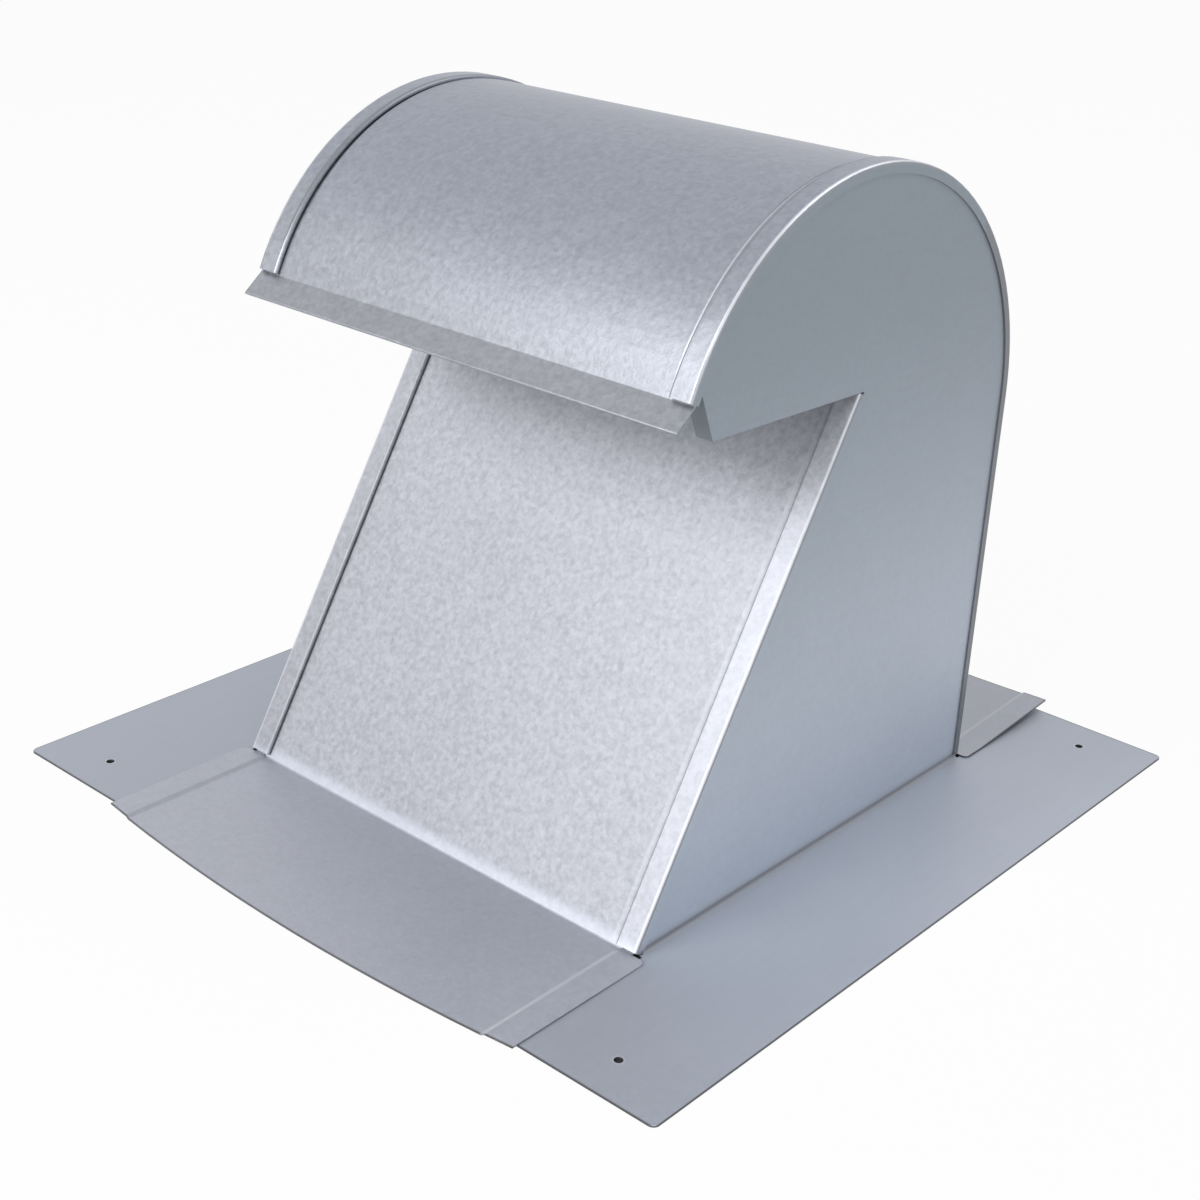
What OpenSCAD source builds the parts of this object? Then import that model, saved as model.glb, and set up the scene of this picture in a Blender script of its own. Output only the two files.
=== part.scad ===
// Gooseneck roof vent, folded and locked together from four galvanised sheets.
// Origin: centre of the base at the underside of the flange. The mouth faces -Y.

/* [Body] */
// Width over the two side seams
body_w = 203; // [170:1:260]
// Depth from the front fold to the back face
body_d = 206; // [195:1:240]
// Height of the turning centre of the hood
shoulder_h = 156; // [150:1:185]
// Outer radius of the hood
hood_r = 101; // [96:0.5:104]
// Angle of the throat panel above the level, in degrees
throat_angle = 59.5; // [56:0.5:64]
// Height of the top edge of the throat panel
mouth_h = 179; // [165:1:183]

/* [Hood lip] */
// Angle that the hood turns through, from the back to the drip lip
hood_sweep = 156.5; // [150:0.5:160]
// Angle that the drip lip turns outwards
lip_turn = 27; // [15:1:40]
// Width of the drip lip
lip_w = 10.5; // [9:0.5:16]
// Width of the hem under the lip's edge
hem_w = 5; // [3:0.5:6]

/* [Side panels] */
// Length of empty pocket between the side panel and the lip, along the hood
cheek_setback = 8; // [5:0.5:12]
// Distance of the side panel's front tip behind the lip's bend
tip_back = 11; // [6:0.5:16]
// Drop of the side panel's front tip below the lip's bend
tip_drop = 14.5; // [10:0.5:20]

/* [Sheet and lock seams] */
// Thickness of the sheet
sheet_t = 0.6; // [0.4:0.05:0.8]
// Inside radius of the open bends
bend_r = 1.5; // [1:0.25:3]
// Width of the lock strip along each corner
lock_w = 9.5; // [8:0.5:12]
// Width of the flap hammered over onto the side panel
flap_w = 4; // [3:0.25:6]
// Width of the side panel's edge that is turned into the lock
turn_w = 7.5; // [5:0.5:7.5]
// Clearance between the layers of a seam
seam_gap = 0.1; // [0.05:0.01:0.15]

/* [Base flange] */
// Width of the side flanges
flange_w = 60.5; // [50:0.5:80]
// How much further the front and back flanges reach than the side flanges
end_extra = 2.5; // [1:0.5:5]
// Outward bow of the front and back edges
edge_bow = 6.5; // [1:0.5:8]
// Reach of the side flange inside the corner of the body, under the lap
lap_in = 7; // [5:0.5:12]
// Reach of the front and back flanges outside the corner, over the side flange
lap_out = 4; // [2:0.5:10]
// Width of the joggle that lifts the lap over the side flange
joggle_w = 1.5; // [1:0.25:3]
// Distance of the lap's outer margin from the fold
lap_relief = 5; // [3:0.5:10]
// Radius of the sheet's cut corners
corner_r = 2.5; // [1:0.5:3]

/* [Nail holes] */
// Diameter of the nail holes
nail_d = 3.2; // [2.5:0.1:5]
// Distance of the nail holes from the side flange's outer edge
nail_side = 29; // [15:0.5:32]
// Distance of the nail holes from the side flange's front and back edges
nail_inset = 17; // [12:0.5:25]

/* [Hidden] */
$fn = 96;
zinc = "#a8aeb4";
half_w = body_w / 2;
front_y = -body_d / 2;
back_y = body_d / 2;
hood_y = back_y - hood_r;

// Depths of the seam's layers below the outer face of the lock strip
layer = sheet_t + seam_gap;
turn_n = layer;
return_n = 2 * layer;
main_n = 3 * layer;

// Bends of the lock: rolled corner, wide fold round the turned edge, tight fold behind it
roll_r = turn_n + sheet_t;
leg = 2;
cheek_n = roll_r + leg / 2;
fold_r = (return_n + sheet_t) / 2;
tight_r = sheet_t + seam_gap / 2;
tight_x = half_w - 2 * layer - tight_r;

// Levels of the base: side flanges and middles lie on the floor, laps lie on the side flanges
lap_z = layer;
slope_sin = sin(throat_angle);
slope_cos = cos(throat_angle);
throat_top = mouth_h / slope_sin;
throat_foot = (sheet_t + bend_r + seam_gap + flap_w * slope_cos) / slope_sin;
back_foot = lap_z + sheet_t + bend_r + seam_gap;

// Plan of the end flanges
lap_x = half_w - lap_in - seam_gap;
flat_x = lap_x - joggle_w;
end_x = half_w + lap_out;
end_reach = flange_w + end_extra;
bow_r = (end_x * end_x + edge_bow * edge_bow) / (2 * edge_bow);

// How bends run into the plates beside them
hair = 0.002;
bend_bite = 1;

// The side panel stops short of the lip
cheek_sweep = hood_sweep - cheek_setback / hood_r * 180 / PI;

// Free front edge of the side panel, from its tip up to the hood
tip = hood_point(hood_r - main_n, hood_sweep) + [tip_back, -tip_drop];
crown = hood_point(hood_r, cheek_sweep);
brow = norm(crown - tip);
brow_dir = (crown - tip) / brow;

// A point in depth and height on the hood, r from its turning centre
function hood_point(r, a) = [hood_y + r * cos(a), shoulder_h + r * sin(a)];

// A point in depth and height, s along the throat panel's outer face and n below it
function slope_point(s, n) =
    [front_y + s * slope_cos + n * slope_sin, s * slope_sin - n * slope_cos];

// Where a profile at depth n below the throat panel's face crosses height z
function slope_at(z, n) = slope_point((z + n * slope_cos) / slope_sin, n);

// Turns a drawing in depth and height so that it extrudes along the width
module across_width() {
    rotate([90, 0, 90]) children();
}

// A bend in the sheet about its own axis, r inside, between two angles.
// It is a hair smaller than the sheet all round and runs into the plates at its ends.
module bend(r, a0, a1, width) {
    rotate_extrude(angle = a1 - a0 + 2 * bend_bite, start = a0 - bend_bite)
    translate([r + hair, hair])
    square([sheet_t - 2 * hair, width - 2 * hair]);
}

// A quarter or half ring of sheet, cut by a box from the centre
module ring_part(r, corner, size) {
    intersection() {
        difference() {
            circle(r);
            if (r > sheet_t) circle(r - sheet_t);
        }
        translate(corner) square(size);
    }
}

// Lock pocket of one corner, across the seam: width to the right, depth downwards as +Y
module pocket_section() {
    roll_x = half_w - roll_r;
    fold_x = half_w - lock_w + fold_r;
    translate([fold_x, 0]) square([roll_x - fold_x, sheet_t]);
    translate([roll_x, roll_r]) ring_part(roll_r, [0, -roll_r], [roll_r, roll_r]);
    translate([half_w - sheet_t, roll_r]) square([sheet_t, flap_w - roll_r]);
    translate([fold_x, fold_r]) ring_part(fold_r, [-fold_r, -fold_r], [fold_r, 2 * fold_r]);
    translate([fold_x, return_n]) square([tight_x - fold_x, sheet_t]);
    translate([tight_x, return_n + tight_r])
        ring_part(tight_r, [0, -tight_r], [tight_r, 2 * tight_r]);
}

// Whole width of a locked sheet: the main sheet and a pocket along each side
module locked_section() {
    translate([-tight_x, main_n]) square([2 * tight_x, sheet_t]);
    pocket_section();
    mirror([1, 0]) pocket_section();
}

// Edge of the side panel, turned inwards to lie in the pocket
module turned_section() {
    roll_x = half_w - roll_r;
    translate([half_w - turn_w, turn_n]) square([roll_x - half_w + turn_w, sheet_t]);
    translate([roll_x, roll_r]) ring_part(roll_r - turn_n, [0, -roll_r], [roll_r, roll_r]);
    translate([half_w - turn_n - sheet_t, roll_r]) square([sheet_t, leg]);
}

// Runs a seam section up the throat panel
module along_throat(from, to) {
    translate([0, front_y, 0])
    rotate([throat_angle - 90, 0, 0])
    translate([0, 0, from])
    linear_extrude(to - from) children();
}

// Runs a seam section up the back, then round the hood
module along_hood(from, sweep) {
    translate([0, back_y, from])
    linear_extrude(shoulder_h - from) mirror([0, 1]) children();
    across_width()
    translate([hood_y, shoulder_h, 0])
    rotate_extrude(angle = sweep)
    translate([hood_r, 0]) rotate(90) children();
}

// Front or back flange in plan, from the fold at y = 0 towards -Y
module end_flange_plan(inside) {
    margin = end_x - corner_r;
    translate([-tight_x, -lap_relief]) square([2 * tight_x, lap_relief + inside]);
    intersection() {
        union() {
            translate([-end_x, -end_reach - edge_bow])
                square([2 * end_x, end_reach + edge_bow - lap_relief - corner_r]);
            translate([-margin, -lap_relief - corner_r - sheet_t])
                square([2 * margin, corner_r + sheet_t]);
            for (side = [-1, 1])
                translate([side * margin, -lap_relief - corner_r]) circle(corner_r);
        }
        translate([0, bow_r - end_reach - edge_bow]) circle(bow_r, $fn = 360);
    }
}

// Front or back flange, joggled up over the side flanges near its two ends
module end_flange(inside_flat, inside_lap) {
    reach = end_reach + edge_bow;
    intersection() {
        linear_extrude(lap_z + sheet_t) end_flange_plan(inside_lap);
        union() {
            translate([-flat_x, -reach, 0]) cube([2 * flat_x, reach + inside_flat, sheet_t]);
            for (side = [0, 1]) mirror([side, 0, 0]) {
                translate([lap_x, -reach, lap_z])
                    cube([end_x - lap_x, reach + inside_lap, sheet_t]);
                translate([0, inside_flat, 0])
                rotate([90, 0, 0])
                linear_extrude(reach + inside_flat)
                polygon([[flat_x, 0], [lap_x, lap_z], [lap_x, lap_z + sheet_t], [flat_x, sheet_t]]);
            }
        }
    }
}

// Side panel in depth and height: what lies inside the rolled corner of the seams
module cheek_outline() {
    foot = sheet_t + bend_r;
    inner_tip = tip + sheet_t / 2 * [brow_dir[1], -brow_dir[0]];
    above = inner_tip + 2 * brow * brow_dir;
    intersection() {
        union() {
            translate([hood_y, shoulder_h]) circle(hood_r - cheek_n, $fn = 360);
            translate([front_y, foot]) square([body_d - cheek_n, shoulder_h - foot]);
        }
        polygon([
            slope_at(foot, cheek_n), slope_at(mouth_h, cheek_n), inner_tip, above,
            [back_y, above[1] + hood_r], [back_y, foot]
        ]);
    }
}

// Side flange in plan, on the right
module side_flange_plan() {
    x0 = half_w - lap_in;
    x1 = half_w + flange_w;
    y1 = back_y + flange_w;
    fold_x = half_w - turn_n + bend_r;
    difference() {
        union() {
            translate([x0, -y1]) square([x1 - corner_r - x0, 2 * y1]);
            translate([x0, corner_r - y1]) square([x1 - x0, 2 * (y1 - corner_r)]);
            for (end = [-1, 1])
                translate([x1 - corner_r, end * (y1 - corner_r)]) circle(corner_r);
        }
        translate([x0 - leg, front_y]) square([fold_x - x0 + leg, body_d]);
        for (end = [-1, 1])
            translate([x1 - nail_side, end * (y1 - nail_inset)])
                circle(d = nail_d);
    }
}

// Right side panel with its base flange, drawn on +X
module side_panel() {
    outer_x = half_w - turn_n;
    fold_z = sheet_t + bend_r;
    y0 = slope_at(fold_z, cheek_n)[0];
    across_width()
        translate([0, 0, outer_x - sheet_t]) linear_extrude(sheet_t) cheek_outline();
    along_throat(throat_foot, throat_top) turned_section();
    along_hood(back_foot, cheek_sweep) turned_section();
    // Return along the free front edge, below the lip
    across_width()
        translate([tip[0], tip[1], half_w - turn_w])
        rotate([0, 0, atan2(brow_dir[1], brow_dir[0])])
        translate([0, -sheet_t, 0])
        cube([brow - roll_r, sheet_t, turn_w - turn_n - hair]);
    // Bend between the side panel and its base flange
    translate([outer_x + bend_r, back_y - cheek_n, fold_z])
    rotate([90, 0, 0])
    rotate([0, 0, 180])
    rotate_extrude(angle = 90)
    translate([bend_r, 0]) square([sheet_t, back_y - cheek_n - y0]);
    linear_extrude(sheet_t) side_flange_plan();
}

module right_side_panel() {
    color(zinc) side_panel();
}

module left_side_panel() {
    color(zinc) mirror([1, 0, 0]) side_panel();
}

// Foot of the throat panel at one level: the bend and the sheet up into the lock's foot
module throat_root(z, x0, x1) {
    centre = slope_at(z + sheet_t + bend_r, main_n - bend_r);
    foot = (centre[0] - front_y) * slope_cos + centre[1] * slope_sin;
    across_width()
        translate([centre[0], centre[1], x0])
        bend(bend_r, -90, throat_angle - 90, x1 - x0);
    along_throat(foot, throat_foot + leg) translate([x0, main_n]) square([x1 - x0, sheet_t]);
}

module throat_panel() {
    middle = slope_at(sheet_t + bend_r, main_n - bend_r)[0] - front_y;
    raised = slope_at(lap_z + sheet_t + bend_r, main_n - bend_r)[0] - front_y;
    color(zinc) {
        along_throat(throat_foot, throat_top) locked_section();
        throat_root(0, -lap_x, lap_x);
        throat_root(lap_z, lap_x, tight_x);
        throat_root(lap_z, -tight_x, -lap_x);
        translate([0, front_y, 0]) end_flange(middle, raised);
    }
}

// Foot of the hood's back at one level
module back_root(z, x0, x1) {
    centre = [back_y - main_n + bend_r, z + sheet_t + bend_r];
    across_width()
        translate([centre[0], centre[1], x0])
        bend(bend_r, 180, 270, x1 - x0);
    translate([x0, back_y - main_n - sheet_t, centre[1]])
        cube([x1 - x0, sheet_t, back_foot + leg - centre[1]]);
}

// Drip lip: turned outwards from the hood, with its edge hemmed under
module drip_lip() {
    flat = lip_w - tight_r;
    across_width()
    translate([hood_y, shoulder_h, -half_w])
    rotate([0, 0, hood_sweep])
    translate([hood_r - main_n + bend_r, 0, 0])
    rotate([0, 0, 90 - lip_turn]) {
        bend(bend_r, 90, 90 + lip_turn, body_w);
        translate([0, bend_r, 0]) cube([flat, sheet_t, body_w]);
        translate([flat, bend_r + tight_r, 0])
            bend(seam_gap / 2, -90, 90, body_w);
        translate([lip_w - hem_w, bend_r + layer, 0]) cube([hem_w - tight_r, sheet_t, body_w]);
    }
}

module hood_wrapper() {
    color(zinc) {
        along_hood(back_foot, hood_sweep) locked_section();
        drip_lip();
        back_root(0, -lap_x, lap_x);
        back_root(lap_z, lap_x, tight_x);
        back_root(lap_z, -tight_x, -lap_x);
        translate([0, back_y, 0]) rotate([0, 0, 180])
            end_flange(main_n - bend_r, main_n - bend_r);
    }
}

left_side_panel();
right_side_panel();
throat_panel();
hood_wrapper();
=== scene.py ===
"""Looks of the gooseneck roof vent: four galvanised sheets, folded and locked together.

Every length is in metres and every place is in the part's own frame: +Z up, the mouth towards
-Y, and the origin in the middle of the base at the underside of the flange. The vent lies evenly
about the planes X = 0 and Y = 0, which are called its middle planes here.
"""

from __future__ import annotations

import logging
import math
from collections.abc import Sequence
from dataclasses import dataclass, field, replace
from enum import Enum

import bpy
from mathutils import Matrix, Vector

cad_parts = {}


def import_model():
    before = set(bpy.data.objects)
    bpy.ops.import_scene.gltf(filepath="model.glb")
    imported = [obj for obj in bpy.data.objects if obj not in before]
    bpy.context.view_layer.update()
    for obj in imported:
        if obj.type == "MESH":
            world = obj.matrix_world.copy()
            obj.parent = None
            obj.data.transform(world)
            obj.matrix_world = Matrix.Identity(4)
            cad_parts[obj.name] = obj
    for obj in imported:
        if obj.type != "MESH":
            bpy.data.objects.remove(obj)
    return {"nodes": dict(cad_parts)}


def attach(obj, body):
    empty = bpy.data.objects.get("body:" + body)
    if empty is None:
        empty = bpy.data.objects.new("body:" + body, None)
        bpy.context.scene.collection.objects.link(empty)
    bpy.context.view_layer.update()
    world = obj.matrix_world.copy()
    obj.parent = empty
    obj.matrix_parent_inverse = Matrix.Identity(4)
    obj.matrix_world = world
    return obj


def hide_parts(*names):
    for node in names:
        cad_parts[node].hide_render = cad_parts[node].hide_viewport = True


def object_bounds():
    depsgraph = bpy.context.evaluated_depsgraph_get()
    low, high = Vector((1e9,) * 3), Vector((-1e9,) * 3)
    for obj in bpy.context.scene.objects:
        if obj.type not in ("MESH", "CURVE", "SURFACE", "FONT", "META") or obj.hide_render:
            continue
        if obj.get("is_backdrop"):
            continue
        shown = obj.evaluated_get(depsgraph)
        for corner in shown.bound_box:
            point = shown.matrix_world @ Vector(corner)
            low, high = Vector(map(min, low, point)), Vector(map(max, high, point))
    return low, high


LOG = logging.getLogger("roof_vent")

MM = 0.001

Colour = tuple[float, float, float]
Span = tuple[float, float]
Socket = bpy.types.NodeSocket

WHITE: Colour = (1.0, 1.0, 1.0)
X_AXIS = (1.0, 0.0, 0.0)
Y_AXIS = (0.0, 1.0, 0.0)


class Rolling(Enum):
    """The direction in which a sheet was rolled, as stretch factors along X, Y and Z."""

    ALONG_X = (0.05, 1.0, 1.0)
    ALONG_Y = (1.0, 0.05, 1.0)
    ALONG_Z = (1.0, 1.0, 0.05)


def deselect_all() -> None:
    """Leave object mode's selection empty."""
    bpy.ops.object.select_all(action="DESELECT")


def pick(obj: bpy.types.Object) -> None:
    """Select one object alone and make it active.

    Args:
        obj: The object.
    """
    deselect_all()
    obj.select_set(True)
    bpy.context.view_layer.objects.active = obj


class NodeGraph:
    """A material or world node tree, with short calls for the nodes used here."""

    def __init__(self, tree: bpy.types.NodeTree) -> None:
        """Start from an empty tree."""
        self.tree = tree
        self.tree.nodes.clear()

    def add(self, kind: str, **settings: object) -> bpy.types.Node:
        """Add a node.

        Args:
            kind: The node's type name, without the leading ShaderNode.
            settings: Attributes to set on the node.

        Returns:
            The new node.
        """
        node = self.tree.nodes.new("ShaderNode" + kind)
        for key, value in settings.items():
            setattr(node, key, value)
        return node

    def link(self, source: Socket, target: Socket) -> None:
        """Join an output to an input."""
        self.tree.links.new(source, target)

    def feed(self, target: Socket, value: Socket | Colour | float) -> None:
        """Give an input its value.

        Args:
            target: The input.
            value: A socket to link, or a colour or a number to set.
        """
        if isinstance(value, Socket):
            self.link(value, target)
        elif isinstance(value, tuple):
            target.default_value = (*value, 1.0)
        else:
            target.default_value = value

    def axes(self, vector: Socket) -> tuple[Socket, Socket, Socket]:
        """Take a vector apart.

        Args:
            vector: The vector's socket.

        Returns:
            Its X, Y and Z.
        """
        apart = self.add("SeparateXYZ")
        self.link(vector, apart.inputs["Vector"])
        return apart.outputs["X"], apart.outputs["Y"], apart.outputs["Z"]

    def facing(self) -> tuple[Socket, Socket, Socket]:
        """Return the X, Y and Z of the direction that a face looks in."""
        return self.axes(self.add("NewGeometry").outputs["True Normal"])

    def math(self, operation: str, a: Socket | float, b: Socket | float = 0.0) -> Socket:
        """Combine two numbers.

        Args:
            operation: The Math node's operation.
            a: First socket or number.
            b: Second socket or number.

        Returns:
            The result's socket.
        """
        node = self.add("Math", operation=operation)
        self.feed(node.inputs[0], a)
        self.feed(node.inputs[1], b)
        return node.outputs[0]

    def times(self, first: Socket, *others: Socket | float) -> Socket:
        """Multiply several numbers.

        Args:
            first: First socket.
            others: The other sockets and numbers.

        Returns:
            The product's socket.
        """
        for other in others:
            first = self.math("MULTIPLY", first, other)
        return first

    def most(self, first: Socket, *others: Socket | float) -> Socket:
        """Find the largest of several numbers.

        Args:
            first: First socket.
            others: The other sockets and numbers.

        Returns:
            The largest one's socket.
        """
        for other in others:
            first = self.math("MAXIMUM", first, other)
        return first

    def rest(self, share: Socket) -> Socket:
        """Return what a share leaves of 1."""
        return self.math("SUBTRACT", 1.0, share)

    def ramp(
        self, value: Socket, low: float, high: float, to_low: float = 0.0, to_high: float = 1.0
    ) -> Socket:
        """Map a range of numbers smoothly to another.

        Args:
            value: The socket to map.
            low: Where the map starts.
            high: Where the map ends.
            to_low: The result at low.
            to_high: The result at high.

        Returns:
            The result's socket.
        """
        node = self.add("MapRange", interpolation_type="SMOOTHSTEP")
        self.link(value, node.inputs["Value"])
        node.inputs["From Min"].default_value = low
        node.inputs["From Max"].default_value = high
        node.inputs["To Min"].default_value = to_low
        node.inputs["To Max"].default_value = to_high
        return node.outputs["Result"]

    def band(self, value: Socket, low: float, high: float, edge: float) -> Socket:
        """Single out a range of numbers.

        Args:
            value: The socket to look at.
            low: Where the range starts.
            high: Where the range ends.
            edge: Width of the soft edges, which lie inside the range.

        Returns:
            1 inside the range and 0 outside it.
        """
        rise = self.ramp(value, low, low + edge)
        fall = self.ramp(value, high - edge, high, 1.0, 0.0)
        return self.times(rise, fall)

    def noise(
        self, vector: Socket, scale: float, detail: float = 2.0, roughness: float = 0.5
    ) -> Socket:
        """Add a noise pattern.

        Args:
            vector: Where the pattern is read.
            scale: Features per metre.
            detail: Octaves of finer detail.
            roughness: Strength of the finer detail.

        Returns:
            The pattern's value, from 0 to 1.
        """
        node = self.add("TexNoise")
        self.link(vector, node.inputs["Vector"])
        node.inputs["Scale"].default_value = scale
        node.inputs["Detail"].default_value = detail
        node.inputs["Roughness"].default_value = roughness
        return node.outputs["Fac"]

    def cells(self, vector: Socket, scale: float) -> Socket:
        """Add a pattern of flat cells.

        Args:
            vector: Where the pattern is read.
            scale: Cells per metre.

        Returns:
            The pattern's value, from 0 to 1, which each cell has for its own.
        """
        node = self.add("TexVoronoi", feature="F1")
        self.link(vector, node.inputs["Vector"])
        node.inputs["Scale"].default_value = scale
        grey = self.add("RGBToBW")
        self.link(node.outputs["Color"], grey.inputs["Color"])
        return grey.outputs["Val"]

    def swing(self, pattern: Socket, size: float) -> Socket:
        """Turn a pattern from 0 to 1 into a swing about zero, size wide in all."""
        return self.times(self.math("SUBTRACT", pattern, 0.5), size)

    def scaled(self, colour: Socket, amount: Socket) -> Socket:
        """Make a colour lighter or darker.

        Args:
            colour: The colour.
            amount: The factor by which it changes.

        Returns:
            The new colour's socket.
        """
        node = self.add("VectorMath", operation="SCALE")
        self.link(colour, node.inputs[0])
        self.link(amount, node.inputs["Scale"])
        return node.outputs[0]

    def mix(self, share: Socket, a: Socket | Colour, b: Socket | Colour) -> Socket:
        """Blend two colours, on the Mix node's inputs for colours, which are its 6 and 7.

        Args:
            share: Share of the second colour.
            a: First colour or socket.
            b: Second colour or socket.

        Returns:
            The blended colour's socket.
        """
        node = self.add("Mix", data_type="RGBA")
        self.link(share, node.inputs[0])
        self.feed(node.inputs[6], a)
        self.feed(node.inputs[7], b)
        return node.outputs[2]

    def relief(self, heights: Sequence[tuple[Socket, float]]) -> Socket:
        """Raise the surface by several patterns.

        Args:
            heights: Each pattern with its depth in metres.

        Returns:
            The normal for the shader.
        """
        normal = None
        for height, depth in heights:
            bump = self.add("Bump")
            bump.inputs["Strength"].default_value = 1.0
            bump.inputs["Distance"].default_value = depth
            self.link(height, bump.inputs["Height"])
            if normal is not None:
                self.link(normal, bump.inputs["Normal"])
            normal = bump.outputs["Normal"]
        return normal

    def blend(self, share: Socket, a: bpy.types.Node, b: bpy.types.Node) -> Socket:
        """Blend two shaders.

        Args:
            share: Share of the second shader.
            a: First shader's node.
            b: Second shader's node.

        Returns:
            The blended shader's socket.
        """
        node = self.add("MixShader")
        self.link(share, node.inputs["Fac"])
        self.link(a.outputs[0], node.inputs[1])
        self.link(b.outputs[0], node.inputs[2])
        return node.outputs["Shader"]

    def output(self, shader: Socket, kind: str = "OutputMaterial") -> None:
        """End the tree with a shader."""
        self.link(shader, self.add(kind).inputs["Surface"])


@dataclass(frozen=True)
class Surface:
    """Where a material is read: Object coordinates, and the distances from the middle planes."""

    graph: NodeGraph
    place: Socket
    x: Socket
    y: Socket
    z: Socket
    across: Socket
    along: Socket

    @classmethod
    def of(cls, graph: NodeGraph) -> Surface:
        """Add the nodes that read the place.

        Args:
            graph: The material's nodes.

        Returns:
            The surface, on which across is the distance from X = 0 and along that from Y = 0.
        """
        place = graph.add("TexCoord").outputs["Object"]
        x, y, z = graph.axes(place)
        return cls(graph, place, x, y, z, graph.math("ABSOLUTE", x), graph.math("ABSOLUTE", y))


@dataclass(frozen=True)
class SeamWearAndPaintedLight:
    """Where the lock seams were hammered, and where wear, painted highlight and painted shade lie
    on them, measured from the middle planes.

    Attributes:
        shoulder: The ridge beside the seam, from and to.
        valley: The crease between the ridge and the seam's flat strip, from and to.
        joggle: The step in the base flange, in line with the seam, from and to.
        strip: Where the flat strip starts.
        corner: Where the strip rolls over the vent's corner.
        underside: Where the rolled corner turns down to the side panel.
        half_width: The outer face of the flap that lies on the side panel.
        root: The depth beyond which a sheet is base flange.
        lean: Slope of the strip, down towards the corner.
        middle: Half the width over which the left half's painted light and shade pass to the right
            half's.
        rim_lit_front: Depths over which the rim's painted highlight, in part wear, gives way to
            painted shade at the back.
        patches: The noise over which the rim's wear and painted highlight go up, and patch_shares
            how far.

    Highlight shares say how bright a painted highlight is, shade shares how dark a painted shade
    is, and a name in _edge how wide its soft edge is.
    """

    shoulder: Span
    valley: Span
    joggle: Span
    strip: float
    corner: float
    underside: float
    half_width: float
    root: float

    lean: float = 0.10
    # Shares of painted highlight and painted shade; the rim's highlight is in part real wear.
    shoulder_highlight: float = 0.18
    right_valley_shade: float = 0.22
    left_valley_shade: float = 0.6
    rim_wear_and_highlight: float = 0.65
    strip_highlight: float = 0.08
    joggle_highlight: float = 0.6
    joggle_shade: float = 0.3
    painted_shade: float = 0.75
    # The bright tone is painted highlight, in part wear on the rim; the dark tone is painted
    # shade.
    worn_and_highlight_tone: Colour = (0.66, 0.68, 0.73)
    painted_shade_tone: Colour = (0.17, 0.18, 0.195)

    line_edge: float = 0.3 * MM
    rim_edge: float = 0.4 * MM
    underside_edge: float = 0.12 * MM
    strip_edge: float = 1.0 * MM
    root_edge: float = 1.0 * MM
    lap_edge: float = 2.0 * MM
    middle: float = 10.0 * MM
    rim_lit_front: Span = (45.0 * MM, 95.0 * MM)
    # The strip's painted highlight grows over these heights.
    strip_climb: Span = (15.0 * MM, 100.0 * MM)
    flange_top: Span = (1.6 * MM, 2.2 * MM)
    lip_heights: Span = (150.0 * MM, 160.0 * MM)
    lip_depths: Span = (-89.0 * MM, -80.0 * MM)
    patch_scale: float = 60.0
    patches: Span = (0.25, 0.6)
    patch_shares: Span = (0.6, 0.95)

    def dress(self, surface: Surface, colour: Socket) -> Socket:
        """Paint highlights on the seams, in part wear on the rim, and paint shade under the rim,
        in the creases and on the sides that face away from the light.

        Args:
            surface: Where the material is read.
            colour: The sheet's colour away from the seams.

        Returns:
            The sheet's colour, seams included.
        """
        graph = surface.graph
        seamed = self._seamed(surface)
        rim = graph.ramp(surface.across, self.corner, self.corner + self.rim_edge)
        rim_lit_front = graph.ramp(surface.y, *self.rim_lit_front, 1.0, 0.0)
        lapped = graph.ramp(surface.along, self.root - self.lap_edge, self.root)
        joggle = graph.times(graph.band(surface.across, *self.joggle, self.line_edge), lapped)

        # Painted highlight on the rim, strip, right shoulder and right joggle; the rim's patches
        # are in part wear.
        worn_and_lit = graph.times(self._worn_and_highlighted(surface, graph.times(rim, rim_lit_front)), seamed)
        # The joggle: painted highlight on its right half.
        joggle_lit = graph.times(joggle, self._by_side(surface, 0.0, self.joggle_highlight))
        colour = graph.mix(graph.most(worn_and_lit, joggle_lit), colour, self.worn_and_highlight_tone)

        # Painted shade under and behind the rim, in the valley and on the left joggle.
        rim_and_valley_shade = graph.times(self._painted_shade_mask(surface, graph.times(rim, graph.rest(rim_lit_front))), seamed)
        # The joggle: painted shade on its left half.
        joggle_shaded = graph.times(joggle, self._by_side(surface, self.joggle_shade, 0.0))
        return graph.mix(graph.times(graph.most(rim_and_valley_shade, joggle_shaded), self.painted_shade), colour, self.painted_shade_tone)

    def fall(self, surface: Surface) -> Socket:
        """Let the lock strips fall away a little towards the corners, as hammering left them.

        Args:
            surface: Where the material is read.

        Returns:
            The strips' height in metres, which is 0 elsewhere.
        """
        graph = surface.graph
        beyond = graph.most(graph.math("SUBTRACT", surface.across, self.strip), 0.0)
        return graph.times(beyond, self._seamed(surface), -self.lean)

    def _by_side(self, surface: Surface, left: float, right: float) -> Socket:
        """Pass from a number on the vent's left half to another on its right half."""
        return surface.graph.ramp(surface.x, -self.middle, self.middle, left, right)

    def _seamed(self, surface: Surface) -> Socket:
        """Find the part of a sheet that has lock seams.

        Args:
            surface: Where the material is read.

        Returns:
            1 on the seamed part, and 0 on the base flange and on the drip lip.
        """
        graph = surface.graph
        above = graph.ramp(surface.z, *self.flange_top)
        inside = graph.ramp(surface.along, self.root, self.root + self.root_edge, 1.0, 0.0)
        high = graph.ramp(surface.z, *self.lip_heights)
        ahead = graph.ramp(surface.y, *self.lip_depths, 1.0, 0.0)
        return graph.times(above, inside, graph.rest(graph.times(high, ahead)))

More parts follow.
